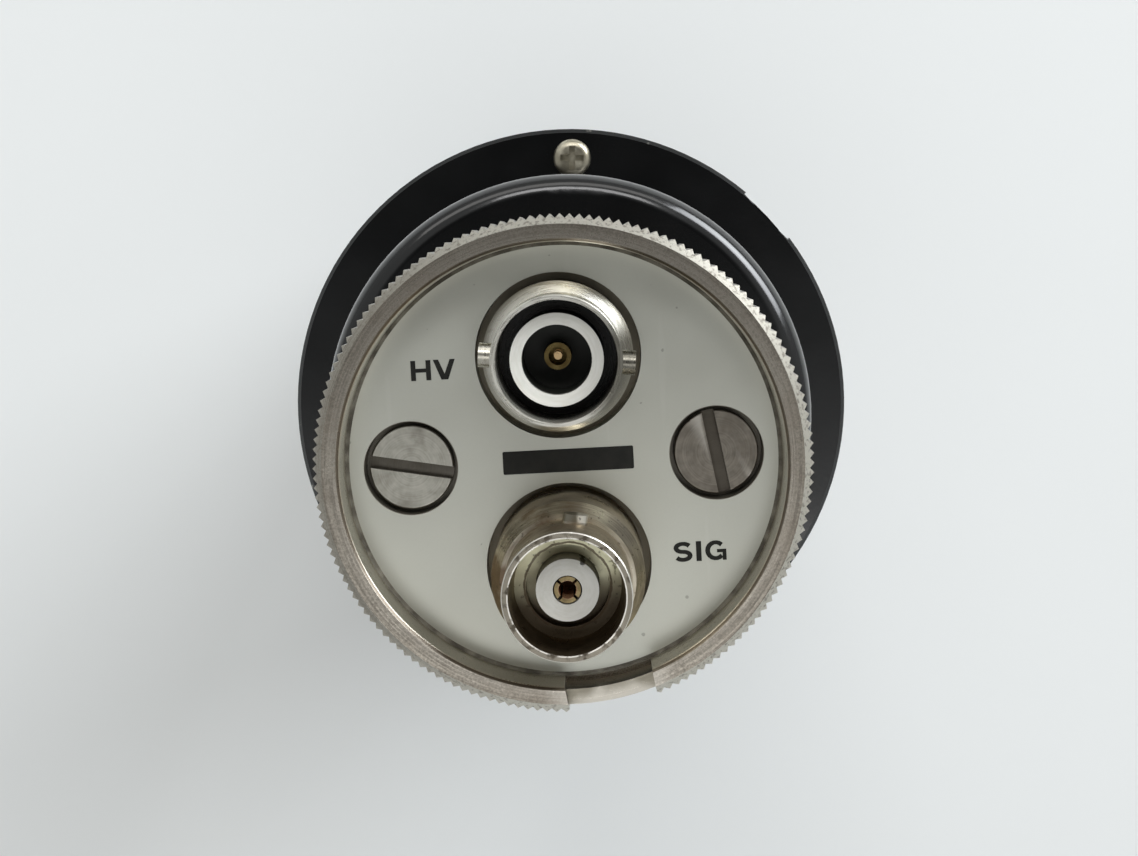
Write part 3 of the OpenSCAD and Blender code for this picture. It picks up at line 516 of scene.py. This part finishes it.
def sig_outside(s, lines, cloud, radius, depth):
    """Outside of the signal jack: nickel clouded with brown, most on the left, and two lugs with a
    painted highlight on their right part and painted shade on the rest.
    """
    fresh = s.mix(s.spread(lines), (0.44, 0.4, 0.325), (0.68, 0.635, 0.53))
    stain = s.times(s.range(cloud, 0.38, 0.62), s.range(s.xyz()[0], *SIG_STAIN_X, 1.0, 0.3))
    brown = s.mix(stain, fresh, (0.21, 0.155, 0.105))
    foot = s.mix(s.range(depth, *SIG_FOOT_DEPTH), brown, (0.44, 0.39, 0.305))
    lug = s.times(s.range(radius, *SIG_LUG_R), s.fall(depth, *SIG_LUG_DEPTH))
    # Painted highlight on the right part of the lugs, painted shade on the rest.
    lit = s.range(s.xyz()[0], *SIG_LUG_LIT_X)
    return s.mix(lug, foot, s.mix(lit, (0.26, 0.24, 0.19), (0.8, 0.76, 0.67)))


def sig_bore(s, lines, cloud, radius, level):
    """Inside of the signal jack: painted shade below in dark brown, painted light above in olive, with a
    tide line on its ledge.
    """
    # Painted light above the axis and painted shade below it, on the wall and the ledge.
    painted_light_above = s.range(s.xyz()[1], *SIG_UPPER_Y)
    dark = s.mix(s.spread(lines), (0.1, 0.077, 0.053), (0.22, 0.178, 0.126))
    wall = s.mix(s.times(painted_light_above, 0.8), dark, (0.3, 0.27, 0.18))
    olive = s.mix(s.range(cloud, 0.35, 0.65), (0.82, 0.8, 0.57), (0.62, 0.58, 0.4))
    ledge = s.mix(painted_light_above, (0.09, 0.07, 0.046), olive)
    wander = s.times(s.math("SUBTRACT", s.noise(900, 4), 0.5), TIDE_RAGGED)
    tide = s.times(s.band(s.math("ADD", radius, wander), *TIDE_R), 0.85)
    return s.mix(level, wall, s.mix(tide, ledge, (0.07, 0.045, 0.024)))


def white_ptfe(s, axis):
    """Sets the gloss and turning marks of white fluoroplastic, and gives back its soiled white."""
    lines = s.turned(axis, 5)
    dirt = s.noise(520, 4)
    clean = s.mix(s.spread(lines), (0.78, 0.77, 0.71), (0.84, 0.83, 0.78))
    s.set("Roughness", s.spread(dirt, 0.42, 0.55))
    s.bump(lines, 0.008, 0.4)
    return s.mix(s.range(dirt, 0.56, 0.8, 0.0, 0.4), clean, (0.56, 0.54, 0.46))


def hv_ptfe():
    """Insulator of the high-voltage jack: white on its end, black in its bore, and painted black on its
    outside as shade.
    """
    s = Surface("hv_ptfe", Specular_IOR_Level=0.35)
    depth = s.math("SUBTRACT", HV_WHITE_Z, s.height())
    hole = s.fall(s.radius(HV_AXIS), *HV_HOLE_R)
    bore = s.times(hole, s.range(depth, *HV_HOLE_DEPTH))
    # Painted shade: the insulator's side inside the shell is painted black.
    outside = s.times(s.range(depth, *HV_OUTSIDE_DEPTH), s.inverse(hole))
    dark = s.math("MAXIMUM", bore, outside)
    s.set("Base Color", s.mix(dark, white_ptfe(s, HV_AXIS), (0.045, 0.047, 0.04)))
    return s.material


def sig_ptfe():
    """Insulator of the signal jack: white, with painted shade for a nick at its edge."""
    s = Surface("sig_ptfe", Specular_IOR_Level=0.35)
    wander = s.times(s.noise(2600, 4), NICK_RAGGED)
    # Painted shade: a dark patch at the edge stands for a nick.
    nick = s.range(s.math("ADD", s.radius(NICK_AT), wander), *NICK_R, 0.9, 0.0)
    s.set("Base Color", s.mix(nick, white_ptfe(s, SIG_AXIS), (0.03, 0.025, 0.018)))
    return s.material


def dull_gold():
    """Gold plate on the signal contact, dulled and browned, with its hole painted a light red-brown as
    painted light.
    """
    s = Surface("dull_gold")
    cloud = s.noise(1100, 4)
    plate = s.mix(s.range(cloud, 0.35, 0.7), (0.25, 0.195, 0.1), (0.16, 0.118, 0.06))
    # Painted light: the hole is a light red-brown and not metallic.
    hole = s.fall(s.radius(SIG_AXIS), *SIG_PIN_HOLE_R)
    s.set("Base Color", s.mix(hole, plate, (0.55, 0.32, 0.18)))
    s.set("Metallic", s.inverse(hole))
    s.set("Roughness", s.spread(cloud, 0.24, 0.4))
    s.bump(cloud, 0.01, 0.3)
    return s.material


def deep_gold():
    """Gold plate deep in the high-voltage jack: an olive-brown sleeve round a brighter pin."""
    s = Surface("deep_gold", metallic=1.0)
    cloud = s.noise(1100, 4)
    sleeve = s.mix(s.range(cloud, 0.35, 0.7), (0.2, 0.15, 0.06), (0.13, 0.09, 0.035))
    pin = s.fall(s.radius(HV_AXIS), *HV_PIN_R)
    s.set("Base Color", s.mix(pin, sleeve, (0.85, 0.6, 0.32)))
    s.set("Roughness", s.spread(cloud, 0.26, 0.4))
    s.bump(cloud, 0.01, 0.3)
    return s.material


# Finishes of what is inside

def clouded(name, dark, light, scale, rough, metallic=0.0, depth_mm=0.01, stretch=(1, 1, 1)):
    """Plain stuff whose colour and gloss vary in soft clouds."""
    s = Surface(name, metallic=metallic)
    cloud = s.stretched(scale, stretch, 4)
    s.set("Base Color", s.mix(s.spread(cloud), dark, light))
    s.set("Roughness", s.spread(cloud, rough - 0.06, rough + 0.06))
    s.bump(cloud, depth_mm, 0.4)
    return s.material


def tube_glass():
    """Clear, faintly straw-coloured glass with a slight swirl."""
    s = Surface("tube_glass", roughness=0.03, Transmission_Weight=1.0, IOR=1.48)
    swirl = s.noise(60, 3)
    s.set("Base Color", s.mix(swirl, (0.93, 0.9, 0.82), (0.97, 0.95, 0.9)))
    s.bump(swirl, 0.02, 0.2)
    return s.material


def banded_resistor():
    """Tan resistors with dark bands across them."""
    s = Surface("banded_resistor")
    wave = s.math("SINE", s.times(s.xyz()[1], 2 * math.pi / RESISTOR_BAND))
    bands = s.range(wave, 0.55, 0.7)
    body = s.mix(s.noise(2000, 3), (0.55, 0.4, 0.26), (0.66, 0.5, 0.34))
    s.set("Base Color", s.mix(bands, body, (0.2, 0.08, 0.05)))
    s.set("Roughness", s.spread(s.noise(1500, 2), 0.38, 0.5))
    return s.material


def inner_finishes():
    """Material of every piece that the housing hides or shows only from the front."""
    nickel = clouded("electrode_nickel", (0.5, 0.49, 0.47), (0.68, 0.67, 0.64), 500, 0.34, 1.0)
    plated = clouded("plated_brass", (0.5, 0.47, 0.4), (0.66, 0.62, 0.54), 600, 0.34, 1.0)
    rubber = clouded("black_rubber", (0.012, 0.012, 0.012), (0.03, 0.03, 0.03), 1500, 0.75, depth_mm=0.03)
    brass = clouded("brass", (0.52, 0.42, 0.18), (0.68, 0.56, 0.28), 500, 0.34, 1.0, stretch=(1, 1, 0.1))
    # Painted shade: the plate is darkened so that the gaps round the jacks show dark.
    plate = clouded("plate_alloy_painted_shade", (0.17, 0.15, 0.115), (0.26, 0.235, 0.185), 400, 0.4, 1.0)
    return {
        "front_gasket": rubber,
        "rear_pad": rubber,
        "magnetic_shield": clouded("shield_alloy", (0.34, 0.34, 0.35), (0.48, 0.48, 0.48), 220, 0.4, 1.0),
        "insulating_sleeve": clouded("varnished_paper", (0.5, 0.36, 0.14), (0.66, 0.5, 0.24), 260, 0.5),
        "glass_tube": tube_glass(),
        "focus_cup": nickel,
        "dynodes": clouded("dynode_alloy", (0.46, 0.44, 0.4), (0.6, 0.57, 0.5), 700, 0.4, 1.0),
        "anode": nickel,
        "support_plates": clouded("mica", (0.6, 0.57, 0.48), (0.76, 0.74, 0.66), 300, 0.45),
        "tube_pins": plated,
        "tube_socket": clouded("brown_resin", (0.07, 0.036, 0.02), (0.12, 0.065, 0.036), 300, 0.45),
        "socket_screws": plated,
        "lower_pillars": brass,
        "upper_pillars": brass,
        "divider_board": clouded("board_laminate", (0.05, 0.13, 0.06), (0.09, 0.2, 0.1), 900, 0.45),
        "resistors": banded_resistor(),
        "capacitors": clouded("blue_ceramic", (0.08, 0.14, 0.36), (0.13, 0.2, 0.46), 800, 0.4),
        "socket_wires": clouded("red_insulation", (0.36, 0.03, 0.02), (0.48, 0.06, 0.04), 900, 0.5),
        "hv_lead": clouded("high_voltage_insulation", (0.42, 0.04, 0.02), (0.54, 0.08, 0.05), 900, 0.45),
        "signal_lead": clouded("screened_lead", (0.02, 0.02, 0.02), (0.05, 0.05, 0.05), 900, 0.5),
        "connector_plate": plate,
        "hv_washer": plated,
        "hv_nut": plated,
        "earth_tag": plated,
        "sig_nut": plated,
    }


def outer_finishes():
    """Material of every piece that shows on the outside."""
    black = black_finish()
    return {
        "barrel": black,
        "front_ring": black,
        "rear_housing": black,
        "flange_screws": flange_steel(),
        "knurled_ring": ring_nickel(),
        "connector_panel": panel_satin(),
        "panel_screws": screw_steel(),
        "hv_shell": hv_nickel(),
        "hv_insulator": hv_ptfe(),
        "hv_contact": deep_gold(),
        "sig_shell": sig_nickel(),
        "sig_insulator": sig_ptfe(),
        "sig_contact": dull_gold(),
    }


def dress(materials):
    """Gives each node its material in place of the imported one."""
    for name, material in materials.items():
        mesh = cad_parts[name].data
        mesh.materials.clear()
        mesh.materials.append(material)


# Letters of the two legends, each drawn from its lower left corner

CAP_H = 1.6 * MM
STEM_W = 0.39 * MM
HAIR_W = 0.31 * MM
ARC_STEPS = 14
H_W = 1.6 * MM
V_W = 1.75 * MM
V_FOOT = 0.27 * MM
V_TOP = 0.42 * MM
V_FORK = 0.46 * MM
S_W = 1.5 * MM
S_HIGH_ARC = (25, 270)
S_LOW_ARC = (90, -155)
I_W = 0.42 * MM
G_W = 1.69 * MM
G_ARC = (42, 318)
G_SPUR_START = 0.1 * MM
G_SPUR_Y = 0.39 * CAP_H
G_SPUR_T = 0.85 * HAIR_W


def ellipse(centre, rx, ry, start, end):
    """Points along an ellipse between two angles in degrees."""
    angles = [math.radians(start + (end - start) * i / ARC_STEPS) for i in range(ARC_STEPS + 1)]
    return [(centre[0] + rx * math.cos(a), centre[1] + ry * math.sin(a)) for a in angles]


def ribbon(points, width_at):
    """Outline of a stroke along points, whose width follows its direction."""
    left, right = [], []
    for i, (x, y) in enumerate(points):
        x0, y0 = points[max(i - 1, 0)]
        x1, y1 = points[min(i + 1, len(points) - 1)]
        along = Vector((x1 - x0, y1 - y0)).normalized()
        half = width_at(along) / 2
        left.append((x - along.y * half, y + along.x * half))
        right.append((x + along.y * half, y - along.x * half))
    return left + right[::-1]


def stroke_width(along):
    """Upright strokes are wider than level ones."""
    return HAIR_W + (STEM_W - HAIR_W) * abs(along.y)


def letter_h(w):
    bar = (CAP_H - HAIR_W) / 2
    return [[
        (0, 0), (STEM_W, 0), (STEM_W, bar), (w - STEM_W, bar), (w - STEM_W, 0), (w, 0),
        (w, CAP_H), (w - STEM_W, CAP_H), (w - STEM_W, bar + HAIR_W), (STEM_W, bar + HAIR_W),
        (STEM_W, CAP_H), (0, CAP_H),
    ]]


def letter_v(w):
    return [[
        (w / 2 - V_FOOT, 0), (w / 2 + V_FOOT, 0), (w, CAP_H), (w - V_TOP, CAP_H),
        (w / 2, V_FORK), (V_TOP, CAP_H), (0, CAP_H),
    ]]


def letter_i(w):
    return [[(0, 0), (w, 0), (w, CAP_H), (0, CAP_H)]]


def letter_s(w):
    rx = w / 2 - STEM_W / 2
    ry = (CAP_H - HAIR_W) / 4
    low = (w / 2, HAIR_W / 2 + ry)
    high = (w / 2, HAIR_W / 2 + 3 * ry)
    spine = ellipse(high, rx, ry, *S_HIGH_ARC) + ellipse(low, rx, ry, *S_LOW_ARC)[1:]
    return [ribbon(spine, stroke_width)]


def letter_g(w):
    rx = w / 2 - STEM_W / 2
    ry = (CAP_H - HAIR_W) / 2
    bowl = ellipse((w / 2, CAP_H / 2), rx, ry, *G_ARC)
    left, right = w / 2 + G_SPUR_START, w - HAIR_W
    low, high = G_SPUR_Y, G_SPUR_Y + G_SPUR_T
    spur = [(left, low), (left, high), (w, high), (w, 0), (right, 0), (right, low)]
    return [ribbon(bowl, stroke_width), spur]


# Pieces that only the looks have: the print on the panel and the painted shade round it

INK = black_print()
PRINT_T = 0.03 * MM
HV_LETTERS = [(letter_h, H_W), (letter_v, V_W)]
HV_LETTER_GAP = 0.2 * MM
HV_LEGEND_AT = (-9.97 * MM, 7.75 * MM)
SIG_LETTERS = [(letter_s, S_W), (letter_i, I_W), (letter_g, G_W)]
SIG_LETTER_GAP = 0.3 * MM
SIG_LEGEND_AT = (10.5 * MM, -7.84 * MM)
BAR_AT = (0.37 * MM, 0.0)
BAR_L = 10.42 * MM
BAR_W = 1.84 * MM
BAR_CORNER = 0.12 * MM
BEAD_W = 0.3 * MM
BEAD_H = 0.16 * MM
BEAD_STEPS = 240
BEAD_SECTION = [
    (RING_BORE_R - BEAD_W, 0), (RING_BORE_R, 0), (RING_BORE_R, BEAD_H),
    (RING_BORE_R - BEAD_W / 3, BEAD_H / 3),
]


def add_piece(name, form, material):
    """Makes a bmesh a piece of the part, with one material."""
    bmesh.ops.recalc_face_normals(form, faces=form.faces[:])
    mesh = bpy.data.meshes.new(name)
    form.to_mesh(mesh)
    form.free()
    mesh.materials.append(material)
    piece = bpy.data.objects.new(name, mesh)
    bpy.context.scene.collection.objects.link(piece)
    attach(piece, "root")


def print_piece(name, outlines, x, y):
    """A thin black piece on the panel's face, from flat outlines that start at (x, y)."""
    form = bmesh.new()
    for outline in outlines:
        corners = [form.verts.new((x + a, y + b, PANEL_Z)) for a, b in outline]
        form.faces.new(corners)
    raised = bmesh.ops.extrude_face_region(form, geom=form.faces[:])
    tops = [v for v in raised["geom"] if isinstance(v, bmesh.types.BMVert)]
    bmesh.ops.translate(form, vec=(0, 0, PRINT_T), verts=tops)
    add_piece(name, form, INK)


def legend(name, letters, gap, centre_x, centre_y):
    """A row of letters, each given by its form and width, centred on a point."""
    x = centre_x - (sum(w for _, w in letters) + gap * (len(letters) - 1)) / 2
    for number, (form, w) in enumerate(letters):
        print_piece(f"{name}_{number + 1}", form(w), x, centre_y - CAP_H / 2)
        x += w + gap


def bare_bar(centre_x, centre_y, length, width, corner):
    """Plain black bar with slightly rounded corners."""
    outline = []
    for turn, (sx, sy) in enumerate(((1, 1), (-1, 1), (-1, -1), (1, -1))):
        middle = (centre_x + sx * (length / 2 - corner), centre_y + sy * (width / 2 - corner))
        outline += ellipse(middle, corner, corner, 90 * turn, 90 * turn + 90)
    print_piece("bar", [outline], 0, 0)


def painted_shade_bead(name, section, steps):
    """A thin bead of painted shade round the panel's edge, from the corners of its section as (radius,
    height).
    """
    form = bmesh.new()
    rows = []
    for step in range(steps):
        turn = 2 * math.pi * step / steps
        x, y = math.cos(turn), math.sin(turn)
        rows.append([form.verts.new((r * x, r * y, PANEL_Z + z)) for r, z in section])
    for here, there in zip(rows, rows[1:] + rows[:1]):
        for i in range(len(section)):
            j = (i + 1) % len(section)
            form.faces.new((here[i], there[i], there[j], here[j]))
    add_piece(name, form, corner_painted_shade())


dress(outer_finishes())
dress(inner_finishes())
legend("legend_high_voltage", HV_LETTERS, HV_LETTER_GAP, *HV_LEGEND_AT)
legend("legend_signal", SIG_LETTERS, SIG_LETTER_GAP, *SIG_LEGEND_AT)
# Painted shade: a dark bead in the corner between the panel and the ring.
painted_shade_bead("corner_painted_shade", BEAD_SECTION, BEAD_STEPS)
bare_bar(*BAR_AT, BAR_L, BAR_W, BAR_CORNER)


# Floor, light and camera

FLOOR_HALF = 6.0
AIM = Vector((0, 0, 0.16))
WHITE = (1.0, 1.0, 1.0)
WARM_WHITE = (1.0, 0.985, 0.95)
COOL_WHITE = (0.93, 0.965, 1.0)
WINDOW_SPREAD = math.radians(70)
LAMPS = {
    "key_right": {"place": (0.28, 1.05, 1.55), "size": (0.42, 0.42), "power": 2.7},
    "key_left": {"place": (-0.14, 1.08, 1.55), "size": (0.42, 0.42), "power": 3.0},
    "top": {"place": (-0.1, 0.9, 0.6), "size": (1.2, 0.3), "power": 1.7, "colour": WARM_WHITE},
    "window": {
        "place": (1.096, 0.887, 0.673), "size": (1.02, 0.8), "power": 4.1,
        "colour": COOL_WHITE, "spread": WINDOW_SPREAD,
    },
    "fill": {"place": (0.0, -0.32, 1.2), "size": (0.7, 0.3), "power": 0.9},
}
SKY_COLOUR = (0.97, 0.99, 0.985, 1)
SKY_LEVEL = 0.46
DIM_LEVEL = 0.04
DIM_WAY = (0.0, 0.15, 1.0)
DIM_STRETCH = (0.6, 1.0, 1.0)
DIM_SPAN = (0.12, 0.36)
SENSOR_W = 36.0
LENS = 63.2689
CLIP_START = 0.01
CAMERA_AT = (3.136 * MM, 17.544 * MM, 341.171 * MM)
CAMERA_TURN = (-5.4426, 0.6418, -3.0369)


def make_floor():
    """Pale matt table, faintly mottled, which takes the shadow."""
    mesh = bpy.data.meshes.new("floor")
    corners = [(-1, -1), (1, -1), (1, 1), (-1, 1)]
    mesh.from_pydata([(x * FLOOR_HALF, y * FLOOR_HALF, 0) for x, y in corners], [], [(0, 1, 2, 3)])
    floor = bpy.data.objects.new("floor", mesh)
    bpy.context.scene.collection.objects.link(floor)
    s = Surface("pale_table", roughness=0.6, Specular_IOR_Level=0.2)
    mottle = s.noise(9, 4)
    s.set("Base Color", s.mix(mottle, (0.84, 0.855, 0.85), (0.88, 0.895, 0.89)))
    mesh.materials.append(s.material)


def softbox(name, place, size, power, colour=WHITE, spread=math.pi):
    """Rectangular soft light that faces the part, with a grid where its spread is narrow."""
    light = bpy.data.lights.new(name, "AREA")
    light.shape = "RECTANGLE"
    light.size, light.size_y = size
    light.energy = power
    light.color = colour
    light.spread = spread
    lamp = bpy.data.objects.new(name, light)
    lamp.location = place
    lamp.rotation_euler = (AIM - Vector(place)).to_track_quat("-Z", "Y").to_euler()
    bpy.context.scene.collection.objects.link(lamp)


def make_world():
    """Soft grey surroundings, with a dim patch nearly overhead that the panel mirrors."""
    world = bpy.data.worlds.new("surroundings")
    world.use_nodes = True
    nodes, links = world.node_tree.nodes, world.node_tree.links
    way = nodes.new("ShaderNodeTexCoord").outputs["Generated"]
    narrowed = nodes.new("ShaderNodeVectorMath")
    narrowed.operation = "MULTIPLY"
    narrowed.inputs[1].default_value = DIM_STRETCH
    links.new(way, narrowed.inputs[0])
    off = nodes.new("ShaderNodeVectorMath")
    off.operation = "DISTANCE"
    off.inputs[1].default_value = DIM_WAY
    links.new(narrowed.outputs["Vector"], off.inputs[0])
    rise = nodes.new("ShaderNodeMapRange")
    rise.interpolation_type = "SMOOTHSTEP"
    for socket, number in zip(rise.inputs[1:5], (*DIM_SPAN, DIM_LEVEL, SKY_LEVEL)):
        socket.default_value = number
    links.new(off.outputs["Value"], rise.inputs[0])
    back = nodes["Background"]
    back.inputs["Color"].default_value = SKY_COLOUR
    links.new(rise.outputs[0], back.inputs["Strength"])
    bpy.context.scene.world = world


def make_camera():
    """Camera at the picture's viewing angle, above the jacks and looking down along the axis."""
    data = bpy.data.cameras.new("camera")
    data.sensor_width = SENSOR_W
    data.lens = LENS
    data.clip_start = CLIP_START
    camera = bpy.data.objects.new("camera", data)
    camera.location = CAMERA_AT
    camera.rotation_euler = [math.radians(angle) for angle in CAMERA_TURN]
    bpy.context.scene.collection.objects.link(camera)
    bpy.context.scene.camera = camera


make_floor()
make_world()
for lamp_name, settings in LAMPS.items():
    softbox(lamp_name, **settings)
make_camera()
bpy.context.scene.view_settings.view_transform = "Standard"
